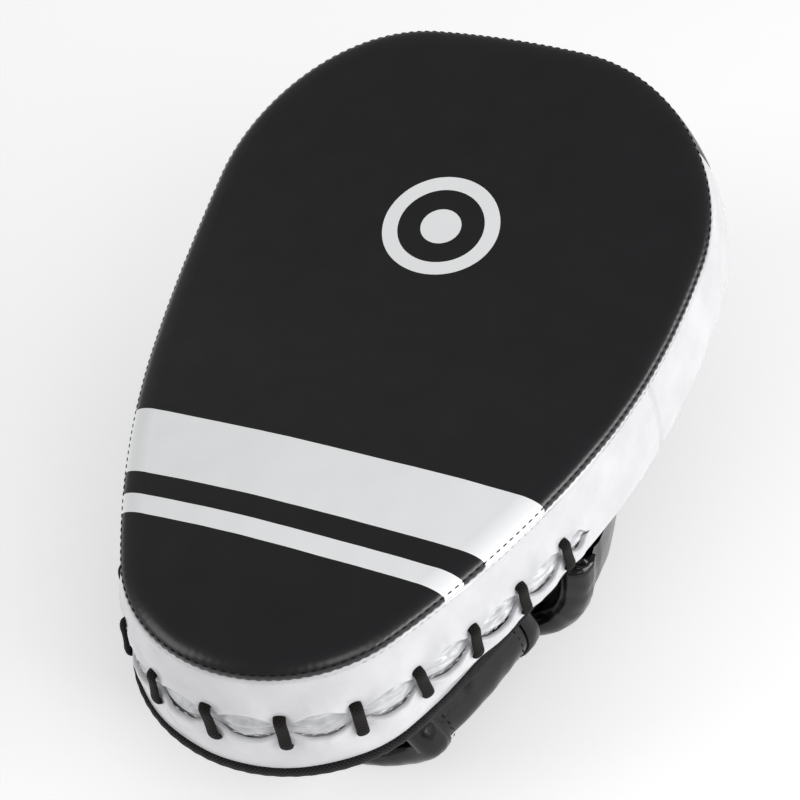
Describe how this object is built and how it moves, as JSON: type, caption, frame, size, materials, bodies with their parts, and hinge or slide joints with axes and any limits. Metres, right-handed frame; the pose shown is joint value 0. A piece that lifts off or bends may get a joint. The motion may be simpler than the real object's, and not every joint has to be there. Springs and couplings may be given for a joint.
{
  "type": "focus mitt",
  "caption": "Long curved focus mitt with a padded striking face, laced side wall, finger hood and padded wrist strap with a hook-and-loop tab.",
  "frame": {"origin": "under the middle of the mitt, on the surface that it lies on, face up on its finger hood and strap", "axes": "+X to the right across the face, +Y from the wrist to the fingertips, +Z out of the striking face"},
  "size_m": [0.2024, 0.3208, 0.1483],
  "materials": {
    "face_leather": "smooth fine-grained synthetic leather, satin",
    "white_leather": "glossy white synthetic leather",
    "tongue_leather": "crinkled white synthetic leather",
    "gusset_leather": "smooth black synthetic leather",
    "hood_leather": "glossy black synthetic leather",
    "back_leather": "black synthetic leather",
    "binding_tape": "black woven edge tape",
    "lining_fabric": "black brushed knit lining",
    "lace_cord": "flat woven black-brown lace",
    "webbing": "black webbing",
    "loop_fabric": "black loop fabric",
    "hook_nylon": "black moulded hook tape",
    "impact_foam": "dense closed-cell foam",
    "core_foam": "soft closed-cell foam"
  },
  "bodies": {
    "pad": {"striking_face": "face_leather", "impact_foam": "impact_foam", "core_foam": "core_foam", "back_foam": "core_foam", "back_panel": "back_leather", "back_binding": "binding_tape", "side_gusset_right": "white_leather", "side_gusset_left": "white_leather", "tip_gusset": "gusset_leather", "lace_lip_front": "white_leather", "lace_lip_back": "white_leather", "lace_tongue": "tongue_leather", "lace": "lace_cord", "palm_ball_cover": "back_leather", "palm_ball_foam": "core_foam", "hood_cover": "hood_leather", "hood_padding": "core_foam", "hood_lining": "lining_fabric", "hood_binding": "hood_leather", "strap_root": "hood_leather", "anchor_strap": "webbing", "loop_patch": "loop_fabric"},
    "wrist_strap": {"strap_cover": "hood_leather", "strap_padding": "core_foam", "strap_lining": "lining_fabric", "strap_binding": "binding_tape"},
    "strap_tab": {"strap_tab": "webbing", "hook_patch": "hook_nylon"}
  },
  "joints": [
    {"name": "strap_swing", "type": "hinge", "parent": "pad", "child": "wrist_strap", "pos_m": [0.05, -0.11932, 0.05425], "axis": [-0.3162, -0.9487, 0], "range_deg": [0, 90]},
    {"name": "tab_peel", "type": "hinge", "parent": "wrist_strap", "child": "strap_tab", "pos_m": [-0.0466, -0.11932, 0.02], "axis": [0.3613, -0.9324, 0], "range_deg": [0, 120]}
  ]
}
